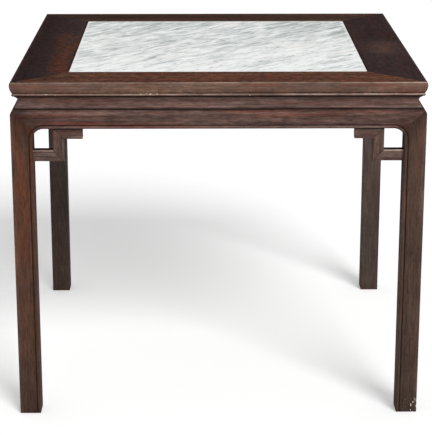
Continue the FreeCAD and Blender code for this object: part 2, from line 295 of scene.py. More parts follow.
def closeness(points, lines):
    """How near each point is to the lines: the strength on the line, fading over its reach.

    A line is start, end, reach and strength, and a second strength where it ends otherwise."""
    found = np.zeros(len(points))
    for start, end, reach, *strength in lines:
        start, end = np.array(start, float), np.array(end, float)
        run = end - start
        share = np.clip((points - start) @ run / (run @ run), 0, 1)
        gap = np.linalg.norm(points - start - share[:, None] * run, axis=1)
        level = np.interp(share, (0, 1), (strength[0], strength[-1]))
        found = np.maximum(found, level * np.exp(-((gap / reach) ** 2)))
    return found


def level_line(start, end, y, z, reach, *strength):
    """A line to mark from left to right at one depth and height."""
    return ((start, y, z), (end, y, z), reach, *strength)


def mark_wood(mesh, seed, upright=False, **marks):
    """Give a board its own grain, and mark the lines where it is rubbed or painted with a highlight, dirty or
    painted with shade, warm, faded or painted lighter, and chipped.
    """
    points = points_of(mesh)
    own = np.random.default_rng(seed).uniform(-GRAIN_SPREAD, GRAIN_SPREAD, 3)
    write_marks(mesh, "grain", (points[:, [2, 0, 1]] if upright else points) + own)
    for name in MARKS:
        write_marks(mesh, name, closeness(points, marks.get(name, ())))


def add_object(name, data):
    made = bpy.data.objects.new(name, data)
    bpy.context.scene.collection.objects.link(made)
    return made


def dress(name, mesh, node, material, turns=0):
    """Place a finished mesh, turned by quarter turns from the front, for its CAD node."""
    mesh.name = name
    mesh.transform(Matrix.Rotation(turns * math.pi / 2, 4, "Z"))
    mesh.materials.clear()
    mesh.materials.append(material)
    mesh.polygons.foreach_set("material_index", [0] * len(mesh.polygons))
    mesh.shade_smooth()
    mesh.set_sharp_from_angle(angle=CRISP_ANGLE)
    piece = add_object(name, mesh)
    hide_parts(node)
    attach(piece, BODY)


# ---- mitred run: a section carried along a straight line, cut at an angle at each end ----
def mitred_run_tree():
    """Geometry nodes that run a section along X between two slanting ends."""
    tree = bpy.data.node_groups.get("Mitred Run")
    if tree:
        return tree
    tree = bpy.data.node_groups.new("Mitred Run", "GeometryNodeTree")
    for name, kind, value in (
        ("Section", "Geometry", None),
        ("Start", "Float", 0.0),
        ("Start Mitre", "Vector", (0, 0, 0)),
        ("End", "Float", 1.0),
        ("End Mitre", "Vector", (0, 0, 0)),
        ("Divisions", "Int", 60),
        ("Plane Marks", "Float", 0.0),
        ("Seed", "Float", 0.0),
        ("Wood", "Material", None),
    ):
        socket = tree.interface.new_socket(name=name, in_out="INPUT", socket_type=f"NodeSocket{kind}")
        if value is not None:
            socket.default_value = value
    tree.interface.new_socket(name="Run", in_out="OUTPUT", socket_type="NodeSocketGeometry")
    given = add_node(tree, "NodeGroupInput")

    outline = add_node(tree, "GeometryNodeMeshToCurve", {"Mesh": given["Section"]})["Curve"]
    line = add_node(tree, "GeometryNodeCurvePrimitiveLine", {"Start": (0, 0, 0), "End": (1, 0, 0)})["Curve"]
    rail = add_node(tree, "GeometryNodeResampleCurve", {"Curve": line, "Count": given["Divisions"]})["Curve"]
    share = add_node(tree, "GeometryNodeSplineParameter")["Factor"]
    # stations crowd towards both ends, where the joints need them
    turn = add_node(tree, "ShaderNodeMath", {0: share, 1: math.pi}, operation="MULTIPLY")[0]
    wave = add_node(tree, "ShaderNodeMath", {0: turn}, operation="COSINE")[0]
    crowded = add_node(tree, "ShaderNodeMath", {0: wave, 1: -0.5, 2: 0.5}, operation="MULTIPLY_ADD")[0]
    marked = add_node(
        tree, "GeometryNodeStoreNamedAttribute", {"Geometry": rail, "Name": "share", "Value": crowded},
        data_type="FLOAT", domain="POINT",
    )["Geometry"]
    swept = add_node(
        tree, "GeometryNodeCurveToMesh", {"Curve": marked, "Profile Curve": outline, "Fill Caps": True}
    )["Mesh"]

    station, section, outward = (
        add_node(tree, "GeometryNodeInputNamedAttribute", {"Name": name}, data_type=kind)["Attribute"]
        for name, kind in (("share", "FLOAT"), ("section", "FLOAT_VECTOR"), ("outward", "FLOAT_VECTOR"))
    )
    ends = []
    for place in ("Start", "End"):
        slant = add_node(
            tree, "ShaderNodeVectorMath", {0: section, 1: given[f"{place} Mitre"]}, operation="DOT_PRODUCT"
        )["Value"]
        ends.append(add_node(tree, "ShaderNodeMath", {0: given[place], 1: slant}, operation="ADD")[0])
    reach = add_node(
        tree, "ShaderNodeMix", {"Factor": station, "A": ends[0], "B": ends[1]}, data_type="FLOAT"
    )["Result"]
    parts = add_node(tree, "ShaderNodeSeparateXYZ", {"Vector": section})
    where = add_node(tree, "ShaderNodeCombineXYZ", {"X": reach, "Y": parts["Y"], "Z": parts["Z"]})["Vector"]
    placed = add_node(tree, "GeometryNodeSetPosition", {"Geometry": swept, "Position": where})["Geometry"]

    # the hand plane leaves faint waves, 0.1 m long and 17 mm wide, always a little below the true face
    waves = add_node(
        tree, "ShaderNodeVectorMath", {0: where, 1: (9.0, 60.0, 60.0)}, operation="MULTIPLY"
    )["Vector"]
    noise = add_node(
        tree, "ShaderNodeTexNoise", {"Vector": waves, "W": given["Seed"], "Scale": 1.0, "Detail": 1.0},
        noise_dimensions="4D",
    )[0]
    depth = add_node(tree, "ShaderNodeMath", {0: noise, 1: given["Plane Marks"]}, operation="MULTIPLY")[0]
    inwards = add_node(tree, "ShaderNodeMath", {0: depth, 1: -1.0}, operation="MULTIPLY")[0]
    offset = add_node(
        tree, "ShaderNodeVectorMath", {0: outward, "Scale": inwards}, operation="SCALE"
    )["Vector"]
    planed = add_node(tree, "GeometryNodeSetPosition", {"Geometry": placed, "Offset": offset})["Geometry"]
    real = add_node(tree, "GeometryNodeRealizeInstances", {"Geometry": planed})["Geometry"]
    finished = add_node(tree, "GeometryNodeSetMaterial", {"Geometry": real, "Material": given["Wood"]})
    add_node(tree, "NodeGroupOutput", {"Run": finished["Geometry"]})
    return tree


def mitred_run(section, start, end, wood, divisions, seed):
    """Mesh of a section of (y, z) points run along X. Each end is (place, slant over y, slant over z)."""
    count = len(section)
    points = np.array([(0.0, y, z) for y, z in section])
    y, z = points[:, 1], points[:, 2]
    turn = np.sign(np.dot(y, np.roll(z, -1)) - np.dot(z, np.roll(y, -1)))
    along = turn * (np.roll(points, -1, axis=0) - np.roll(points, 1, axis=0))
    outward = along[:, [0, 2, 1]] * (0, 1, -1) / np.linalg.norm(along, axis=1)[:, None]
    mesh = bpy.data.meshes.new("section")
    mesh.from_pydata(points.tolist(), [(i, (i + 1) % count) for i in range(count)], [])
    write_marks(mesh, "section", points)
    write_marks(mesh, "outward", outward)
    maker = add_object("section", mesh)
    modifier = maker.modifiers.new("Mitred Run", "NODES")
    modifier.node_group = mitred_run_tree()
    plane_marks = bpy.context.scene.table_sizes.plane_marks
    values = {"Divisions": divisions, "Plane Marks": plane_marks, "Seed": float(seed), "Wood": wood}
    for name, (place, *slant) in (("Start", start), ("End", end)):
        values[name] = float(place)
        values[f"{name} Mitre"] = (0.0, *map(float, slant))
    for item in modifier.node_group.interface.items_tree:
        if item.item_type == "SOCKET" and item.in_out == "INPUT" and item.name in values:
            modifier[item.identifier] = values[item.name]
    maker.update_tag()
    bpy.context.view_layer.update()
    evaluated = maker.evaluated_get(bpy.context.evaluated_depsgraph_get())
    result = bpy.data.meshes.new_from_object(evaluated)
    bpy.data.objects.remove(maker)
    bpy.data.meshes.remove(mesh)
    for name in ("section", "outward", "share"):
        if result.attributes.get(name):
            result.attributes.remove(result.attributes[name])
    return closed(result)


# ---- finishes ----
def patterns(tree, place, rows):
    """Noise drawn over a place. A row is name, repeats per metre each way, detail and distortion."""
    drawn = {}
    for name, repeats, detail, distortion in rows:
        stretched = add_node(tree, "ShaderNodeMapping", {"Vector": place, "Scale": repeats})["Vector"]
        drawn[name] = add_node(
            tree, "ShaderNodeTexNoise",
            {"Vector": stretched, "Scale": 1.0, "Detail": detail, "Roughness": 0.6, "Distortion": distortion},
        )[0]
    return drawn


def finish_surface(tree, tone, roughness, gloss, relief, steepness, depth):
    """End a material: its colour, its polish and its relief, whose depth is in millimetres."""
    bump = add_node(
        tree, "ShaderNodeBump", {"Height": relief, "Strength": steepness, "Distance": depth * MM}
    )["Normal"]
    surface = add_node(
        tree, "ShaderNodeBsdfPrincipled",
        {"Base Color": tone, "Roughness": roughness, "Normal": bump, "IOR": 1.5, "Specular IOR Level": gloss},
    )["BSDF"]
    add_node(tree, "ShaderNodeOutputMaterial", {"Surface": surface})


def coats(tree, tone, rows):
    """Lay each colour over the tone by its share. A share without a colour lightens or darkens the tone."""
    for share, over in rows:
        if over is None:
            tone = add_node(tree, "ShaderNodeVectorMath", {0: tone, "Scale": share}, operation="SCALE")[0]
        else:
            tone = add_node(tree, "ShaderNodeMix", {0: share, 6: tone, 7: (*over, 1)}, data_type="RGBA")[2]
    return tone


def blackwood(
    name, body, finish, red=0.5, dark=0.6, light=0.15, lighter=None, faded=None, fleck=0.25,
    ripple=(30, 120), rough=(0.5, 0.65),
):
    """Blackwood, planed by hand, waxed and long in use: dark and dull red figure along the
    board, short open pores, a soft low sheen, arrises rubbed pale and a few small chips,
    with highlights, shade and light painted into the colour by its marks."""
    material = bpy.data.materials.new(name)
    tree = emptied(material)
    grain = add_node(tree, "ShaderNodeAttribute", attribute_name="grain")["Vector"]
    marks = {mark: add_node(tree, "ShaderNodeAttribute", attribute_name=mark)["Fac"] for mark in MARKS}
    noises = patterns(tree, grain, (
        ("flames", (4.5, 75, 75), 3.0, 0.8),  # red figure, about 13 mm wide and 0.2 m long
        ("streaks", (3.2, 125, 125), 4.0, 0.3),  # dark growth lines, 8 mm apart
        ("drifts", (3.5, 45, 45), 2.0, 0.5),  # lighter drifts, 20 mm wide
        ("flecks", (ripple[0], ripple[1], ripple[1]), 2.0, 0.4),  # ripples in the grain, 8 to 15 mm wide
        ("fibres", (22, 380, 380), 3.0, 0.0),  # fibres, drawn at 2.5 mm so that they still show
        ("pores", (75, 1500, 1500), 1.0, 0.0),  # open pores, 0.7 mm wide and 13 mm long
        ("use", (9, 30, 30), 3.0, 0.0),  # patches of use, a few centimetres across
        ("chips", (140, 230, 230), 1.0, 0.0),  # small chips, 2 mm wide and 4 mm long
    ))
    # the harder a place is knocked, the larger its chips
    noises["chips"] = add_node(
        tree, "ShaderNodeMath", {0: marks["chipped"], 1: 0.03, 2: noises["chips"]}, operation="MULTIPLY_ADD"
    )[0]
    # a share grows from least to most while its noise goes from low to high
    shares = {}
    for part, source, low, high, least, most in (
        ("dark", "streaks", 0.45, 0.7, 0.0, dark),
        ("red", "flames", 0.44, 0.68, 0.0, red),
        ("light", "drifts", 0.45, 0.65, 0.0, light),
        ("fleck", "flecks", 0.32, 0.68, 1 - fleck, 1 + fleck),
        ("fibre", "fibres", 0.25, 0.75, 0.75, 1.25),
        ("patch", "use", 0.3, 0.7, 0.85, 1.15),
        ("broken", "use", 0.3, 0.7, 0.3, 1.0),
        ("rough", "use", 0.25, 0.75, *rough),
        ("pore", "pores", 0.36, 0.46, 0.6, 1.0),
        ("chip", "chips", 0.7, 0.74, 0.0, 1.0),
    ):
        shares[part] = add_node(
            tree, "ShaderNodeMapRange", {"Value": noises[source], 1: low, 2: high, 3: least, 4: most},
            interpolation_type="SMOOTHSTEP",
        )[0]
    for mark, part in (("warmth", "broken"), ("rubbed", "broken"), ("chipped", "chip")):
        shares[mark] = add_node(
            tree, "ShaderNodeMath", {0: marks[mark], 1: shares[part]}, operation="MULTIPLY", use_clamp=True
        )[0]
    clean_and_lit = add_node(
        tree, "ShaderNodeMath", {0: marks["grime"], 1: -0.9, 2: 1.0}, operation="MULTIPLY_ADD"
    )[0]
    # rubbed wood also stands for painted highlights, the darkening by grime also for painted shade, and faded
    # wood also for painted light
    tone = coats(tree, (*body, 1), (
        (shares["dark"], finish.dark_figure),
        (shares["light"], lighter or finish.greyed_wax_and_light),
        (shares["warmth"], finish.warm_figure),
        (shares["fleck"], None),
        (marks["faded"], faded or finish.faded_wood),
        (shares["red"], finish.red_figure),
        (shares["rubbed"], finish.rubbed_wood),
        (shares["fibre"], None),
        (shares["patch"], None),
        (shares["pore"], None),
        (clean_and_lit, None),
        (shares["chipped"], finish.chipped_wood),
    ))
    # grime and painted shade are dull, and they hide the wax
    dull = add_node(
        tree, "ShaderNodeMath", {0: marks["grime"], 1: 0.4, 2: shares["rough"]}, operation="MULTIPLY_ADD",
        use_clamp=True,
    )[0]
    relief = add_node(tree, "ShaderNodeMath", {0: noises["fibres"], 1: shares["pore"]}, operation="ADD")[0]
    finish_surface(tree, tone, dull, gloss=0.03, relief=relief, steepness=0.5, depth=0.08)
    return material


def bare_pine(finish):
    """Pine, sawn and planed but never polished: dry and matt, with plain straight grain.
    The braces and loose tenons take no attribute, so the grain runs along their Y axis."""
    material = bpy.data.materials.new("bare_pine_planed")
    tree = emptied(material)
    place = add_node(tree, "ShaderNodeTexCoord")["Object"]
    # growth rings 7 mm apart
    rings = patterns(tree, place, [("rings", (150, 6, 150), 4.0, 0.0)])["rings"]
    shade = add_node(tree, "ShaderNodeMapRange", {"Value": rings, 1: 0.3, 2: 0.7, 3: 0.7, 4: 1.15})[0]
    tone = coats(tree, tuple(finish.brace_wood), [(shade, None)])
    rough = add_node(tree, "ShaderNodeMapRange", {"Value": rings, 3: 0.65, 4: 0.8})[0]
    finish_surface(tree, tone, rough, gloss=0.3, relief=rings, steepness=0.5, depth=0.2)
    return material


def honed_marble(finish):
    """White marble, sawn and honed: white and grey flecks drawn out slantwise along the bed,
    thin broken veins between them, and a dull even polish."""
    material = bpy.data.materials.new("white_marble_honed")
    tree = emptied(material)
    place = add_node(tree, "ShaderNodeTexCoord")["Object"]
    # the bedding runs from the front left to the back right
    turned = add_node(
        tree, "ShaderNodeMapping", {"Vector": place, "Rotation": (0, 0, math.radians(-47))}
    )["Vector"]
    noises = patterns(tree, turned, (
        ("beds", (4, 9, 9), 3.0, 0.5),  # broad whiter and greyer beds, 0.1 m wide
        ("flecks", (14, 42, 42), 4.0, 0.8),  # flecks 24 mm wide and 70 mm long
        ("wisps", (20, 110, 110), 3.0, 0.8),  # wisps 9 mm wide and 50 mm long
        ("veins", (9, 85, 85), 3.0, 1.2),  # broken veins, drawn 5 mm wide so that they show
        ("gaps", (30, 30, 30), 2.0, 0.0),  # where the veins break off
    ))
    # whiteness: the noises weighed together, and less towards the back of the slab as a painted shade
    depth = add_node(tree, "ShaderNodeSeparateXYZ", {"Vector": place})["Y"]
    white = add_node(tree, "ShaderNodeMath", {0: depth, 1: -0.14, 2: 0.0}, operation="MULTIPLY_ADD")[0]
    for part, weight in (("beds", 0.2), ("flecks", 0.4), ("wisps", 0.4)):
        white = add_node(
            tree, "ShaderNodeMath", {0: noises[part], 1: weight, 2: white}, operation="MULTIPLY_ADD"
        )[0]
    clean_and_lit = add_node(tree, "ShaderNodeMapRange", {"Value": white, 1: 0.375, 2: 0.56, 3: 0.0, 4: 1.0})[0]
    vein, gaps, warm = (
        add_node(
            tree, "ShaderNodeMapRange", {"Value": noises[source], 1: low, 2: high, 3: least, 4: most},
            interpolation_type="SMOOTHSTEP",
        )[0]
        for source, low, high, least, most in (
            ("veins", 0.565, 0.69, 0.0, 0.95),
            ("gaps", 0.44, 0.6, 0.12, 1.0),
            ("beds", 0.55, 0.7, 0.0, 0.35),
        )
    )
    broken = add_node(tree, "ShaderNodeMath", {0: vein, 1: gaps}, operation="MULTIPLY", use_clamp=True)[0]
    rim = add_node(tree, "ShaderNodeAttribute", attribute_name="rim")["Fac"]
    tone = coats(tree, (*finish.stone_cloud, 1), (
        (clean_and_lit, finish.stone),
        (broken, finish.stone_vein),
        (warm, finish.stone_tint),
        # the rim: a painted highlight along the edge
        (rim, finish.stone_rim_highlight),
    ))
    rough = add_node(tree, "ShaderNodeMapRange", {"Value": noises["flecks"], 3: 0.4, 4: 0.55})[0]
    # what honing leaves, drawn at 1 mm so that it still shows
    grit = add_node(tree, "ShaderNodeTexNoise", {"Vector": place, "Scale": 900.0, "Detail": 2.0})[0]
    finish_surface(tree, tone, rough, gloss=0.08, relief=grit, steepness=0.25, depth=0.03)
    return material


# ---- shapes that several pieces share ----
class Joinery:
    """Heights and edges that follow from the sizes."""

    def __init__(self, sizes):
        self.sizes = sizes
        self.half = sizes.side / 2
        self.frame_bottom = sizes.height - sizes.frame_thickness
        self.apron_top = self.frame_bottom - sizes.waist_height
        self.apron_bottom = self.apron_top - sizes.apron_height
        self.leg_in = self.half - sizes.leg_width
        self.mitre_slope = sizes.apron_height / sizes.leg_width
        self.arc_x = self.leg_in - sizes.corner_radius
        self.arc_z = self.apron_bottom - sizes.corner_radius
        # millimetres behind the flat face, and up from the top of the apron
        bend = bow((0, -12), (0.72, -8.75), (2.4, -5.5), steps=5) + [(2.4, -5.5), (8.0, 0)]
        self.shoulder_table = np.array(bend) * MM

    def shoulder(self, z):
        """How far the sloping shoulder stands behind the flat face, at a height."""
        table = self.shoulder_table
        return np.interp(z, table[:, 1] + self.apron_top, table[:, 0])

    def line_levels(self):
        """Bead and groove beside the opening: distance from its edge, and depth."""
        return np.array([
            (0.0, 1.6), (0.5, 0.9), (1.4, 0.35), (2.6, 0.05), (3.8, 0.0), (5.0, 0.1), (6.1, 0.45), (6.8, 1.0),
            (7.2, 1.5), (8.3, 1.65), (9.2, 1.4), (9.6, 0.35), (10.2, 0.0),
        ]) * MM

    def along_opening(self, level, inset, reach, strength):
        """Lines to mark round the opening, so far from its edge, from foot to foot. All in millimetres."""
        radius = self.sizes.corner_radius + level * MM
        turn = np.linspace(0, math.pi / 2, 9)
        x = np.concatenate([[self.leg_in + level * MM], self.arc_x + radius * np.cos(turn)])
        z = np.concatenate([[0], self.arc_z + radius * np.sin(turn)])
        right = np.stack([x, np.full(len(x), inset * MM - self.half), z], axis=-1)
        points = np.concatenate([right * (-1, 1, 1), right[::-1]])
        return [(start, end, reach * MM, strength) for start, end in zip(points[:-1], points[1:])]

    def along_front(self, inset, z, reach, *strength):
        """A line to mark along the whole front, its inset and its reach in millimetres."""
        return level_line(-self.half, self.half, -self.half + inset * MM, z, reach * MM, *strength)

    def corner_dust(self, sign):
        """Dirt in the mitre between apron and leg at one end of the front, and on the wood around it."""
        start = (sign * self.half, -self.half, self.apron_top)
        end = (sign * self.leg_in, -self.half, self.apron_bottom)
        return [(start, end, 0.5 * MM, 0.3), (start, end, 42 * MM, 0.42)]

    def mitre_angle(self, level):
        """Angle from upright at which a level line round the corner meets the mitre."""
        radius = self.sizes.corner_radius + level
        slope = self.mitre_slope
        above = self.apron_top - slope * (self.half - self.arc_x) - self.arc_z
        return np.arccos(above / (radius * math.hypot(1, slope))) - math.atan(slope)

    def corner_ends(self):
        """Ends of a run from corner to corner. They lie on the diagonals, so X changes one for one with Y."""
        gap = self.sizes.joint_gap
        return (gap, 1, 0), (-gap, -1, 0)

    def mitre_end(self, reach):
        """Height at which the mitre meets a line whose distance from the outer face is reach(height)."""
        low, high = self.arc_z, self.apron_top
        for _ in range(40):  # halvings, far past a micrometre
            z = (low + high) / 2
            if self.apron_top - self.mitre_slope * reach(z) > z:
                low = z
            else:
                high = z
        return (low + high) / 2


def settings(context):
    scene = context.scene
    return Joinery(scene.table_sizes), scene.table_sizes, scene.table_finish


class BuildFrame(bpy.types.Operator):
    """Build the four mitred members of the top, with their moulded outer edge"""

    bl_idname = "eight_seat_table.frame"
    bl_label = "Top Frame"

    def execute(self, context):
        joinery, sizes, finish = settings(context)
        half, top = joinery.half, sizes.height
        seat = (sizes.stone_drop + sizes.stone_thickness) / MM
        width, thick, ledge = (v / MM for v in (sizes.frame_width, sizes.frame_thickness, sizes.ledge))
        # the section, in millimetres in from the front and down from the top
        back = width + ledge
        rebate = [(width, 0, 0.7), (width, seat, 0), (back, seat, 0), (back, thick, 1.0)]
        outline = eased(rebate)
        outline += [(60, thick), (7.4, thick)]  # the underside
        outline += bow((7.0, thick), (4.4, 29.6), (6.4, 26.1), steps=8)  # the bead
        outline += [(6.7, 25.9), (7.2, 25.75), (7.2, 25.55), (6.2, 25.4)]  # the nick above it
        outline += bow((5.4, 25.3), (1.55, 16.7), (0, 8), steps=8)  # the swelled face
        outline += bow((0, 8), (0.34, 4.6), (1.26, 1.3), steps=4)
        outline += bow((1.26, 1.3), (1.9, 0.34), (2.8, 0), steps=3)  # the worn arris
        outline += [(inset, 0) for inset in (2.8, 3.6, 4.8, 9, 30, 60, 90, 120, 125)]  # the flat top
        section = [(-half + u * MM, top - v * MM) for u, v in outline]
        woods = {
            "stile": blackwood(
                "blackwood_top_stiles_waxed", finish.top_wood, finish, red=0.5, light=0.75,
                lighter=finish.golden_figure, fleck=0.5, ripple=(60, 65), rough=(0.68, 0.82),
            ),
            "end": blackwood(
                "blackwood_top_ends_waxed", finish.end_wood, finish, red=0.08, light=0.0, fleck=0.45,
                ripple=(60, 100), rough=(0.68, 0.82),
            ),
        }
        inner = half - sizes.frame_width
        centre = (half + inner) / 2
        arris, bead, nick = (top - drop * MM for drop in (0.4, 28.5, 25.6))
        # pale lines along the worn arris and the bead: rubbed wood, and painted highlights where they catch
        # the light
        rubbed = [
            joinery.along_front(1.6, arris, 1.2, 0.3, 0.7),
            joinery.along_front(3, top - 20 * MM, 5, 0.04),
            joinery.along_front(4.5, bead, 2, 0.16, 0.78),
        ]
        chipped = [
            joinery.along_front(5, bead, 2.5, 0.35),
            level_line(-0.23, 0.08, -half + 5 * MM, bead, 2.5 * MM, 1.1),
        ]
        # darker just under the arris; painted shade in the nick above the bead, under the bead and in the gap
        # round the stone; dark joints along the mitres
        grimed = [
            joinery.along_front(0.3, top - 5 * MM, 4.5, 0.17),
            joinery.along_front(7, nick, 0.9, 0.9),
            joinery.along_front(7.5, joinery.frame_bottom, 3.4, 1.0),
            level_line(-inner, inner, -inner, top, 1.6 * MM, 0.75),
        ]
        grimed += [((s * half, -half, top), (s * inner, -inner, top), 0.7 * MM, 0.5) for s in (-1, 1)]
        # the moulded edge is painted paler: greyed wood, and a painted sheen that lifts it against the top
        faded = [joinery.along_front(0, top - depth * MM, 5, 0.72) for depth in (6, 13, 20, 29)]
        # the wax of the back member has bloomed, and a paler patch on the right member is a painted sheen
        bloom_and_sheen = {
            "right": [((-0.1, -centre, top), (0.02, -centre - 0.01, top), 0.034, 0.2)],
            "back": [level_line(-half, half, -centre, top, 0.08, 0.3)],
        }
        # hands and dishes have reddened others, seen with each member turned to the front
        warmed = {
            "front": [level_line(-0.3, half, -centre, top, 0.05, 0.3, 0.55)],
            "left": [level_line(-0.12, inner, -inner - 0.02, top, 0.024, 0.75)],
            "right": [((-0.08, -centre, top), (-0.01, -centre - 0.01, top), 0.032, 0.25)],
        }
        # the back member is darker, and so are some corners and edges of the others
        dull = {
            "back": [level_line(-half, half, -centre, top, 0.08, 0.62, 0.85)],
            "right": [level_line(0.05, half, -centre, top, 0.08, 0.15)],
            "front": [level_line(-half, -half + 0.06, -centre, top, 0.06, 0.45)],
            "left": [level_line(-half, half, -half + 0.02, top, 0.05, 0.35)],
        }
        for turns, side in enumerate(SIDE_ENDS):
            kind = "stile" if side in ("front", "back") else "end"
            mesh = mitred_run(section, *joinery.corner_ends(), woods[kind], divisions=70, seed=turns)
            mark_wood(
                mesh, 10 + turns, rubbed=rubbed, grime=grimed + dull.get(side, []), chipped=chipped,
                warmth=warmed.get(side, []), faded=faded + bloom_and_sheen.get(side, []),
            )
            name = f"top_{kind}_{side}"
            dress(f"frame_{kind}_{side}", mesh, name, woods[kind], turns)
        return {"FINISHED"}


class BuildStone(bpy.types.Operator):
    """Build the marble panel with its softened edges"""

    bl_idname = "eight_seat_table.stone"
    bl_label = "Stone Panel"

    def execute(self, context):
        joinery, sizes, finish = settings(context)
        top = sizes.height - sizes.stone_drop
        bottom = top - sizes.stone_thickness
        reach = joinery.half - sizes.frame_width - sizes.stone_gap
        corner, ease, rim, whitest = 1.5 * MM, 1.1 * MM, 9 * MM, 0.8
        profile = [(1 * MM, bottom), (0, bottom + 1 * MM), (0, top - ease)]
        profile += [(ease * (1 - math.cos(a)), top - ease * (1 - math.sin(a))) for a in (0.5, 1.0)]
        profile += [(ease, top), (2.5 * MM, top), (5 * MM, top), (rim, top)]
        rings = []
        for inset, z in profile:
            edge = reach - inset
            plan = eased([(x * edge, y * edge, corner) for x, y in ((1, -1), (1, 1), (-1, 1), (-1, -1))])
            rings.append([(x, y, z) for x, y in plan])
        mesh = closed(loft(np.array(rings)))
        sideways = reach - np.abs(points_of(mesh)[:, :2]).max(axis=1)
        # the rim is a painted highlight, palest at the edge and fading within 9 mm
        write_marks(mesh, "rim", whitest * np.clip(1 - sideways / rim, 0, 1))
        dress("stone_panel", mesh, "marble_panel", honed_marble(finish))
        return {"FINISHED"}


class BuildWaist(bpy.types.Operator):
    """Build the four hollowed strips between the top and the aprons"""

    bl_idname = "eight_seat_table.waist"
    bl_label = "Waist"

    def execute(self, context):
        joinery, sizes, finish = settings(context)
        high, back = sizes.waist_height / MM, sizes.waist_back / MM
        # the section, in millimetres in from the front and up from the foot
        outline = [(back, high), (back, 0), (9.3, 0), (8.7, 0.25), (8.6, 0.8)]  # the back and the foot
        outline += [(12.1, 5.0), (12.6, 5.5)]  # the lip
        outline += bow((13.0, 6.1), (16.8, 9.6), (18.2, 15.5), steps=6)  # the hollow
        outline += bow((18.2, 15.5), (17.0, 23.0), (10.3, 29.2), steps=8)
        outline += [(10.3, 29.2), (10.1, 29.7), (10.4, high)]  # the upper edge
        section = [(-joinery.half + u * MM, joinery.apron_top + v * MM) for u, v in outline]
        wood = blackwood("blackwood_waist_waxed", finish.waist_wood, finish, red=0.3, dark=0.5)
        foot, head = joinery.apron_top, joinery.frame_bottom
        # painted highlights on the lip and high in the hollow
        rubbed = [
            joinery.along_front(12.4, foot + 5.5 * MM, 1.6, 0.02, 0.15),
            joinery.along_front(14.5, head - 7.5 * MM, 2.5, 0.1),
        ]
        # the joint at the foot, dark and with painted shade; painted shade deep in the hollow and under the
        # overhang of the frame
        grimed = [
            joinery.along_front(8.5, foot, 2.6, 1.0),
            joinery.along_front(17.5, head - 13 * MM, 3, 0.14),
            joinery.along_front(10.5, head, 4.2, 1.0),
        ]
        for turns, side in enumerate(SIDE_ENDS):
            seed = 20 + turns
            mesh = mitred_run(section, *joinery.corner_ends(), wood, divisions=60, seed=seed)
            mark_wood(mesh, seed, rubbed=rubbed, grime=grimed)
            dress(f"waist_strip_{side}", mesh, f"waist_{side}", wood, turns)
        return {"FINISHED"}


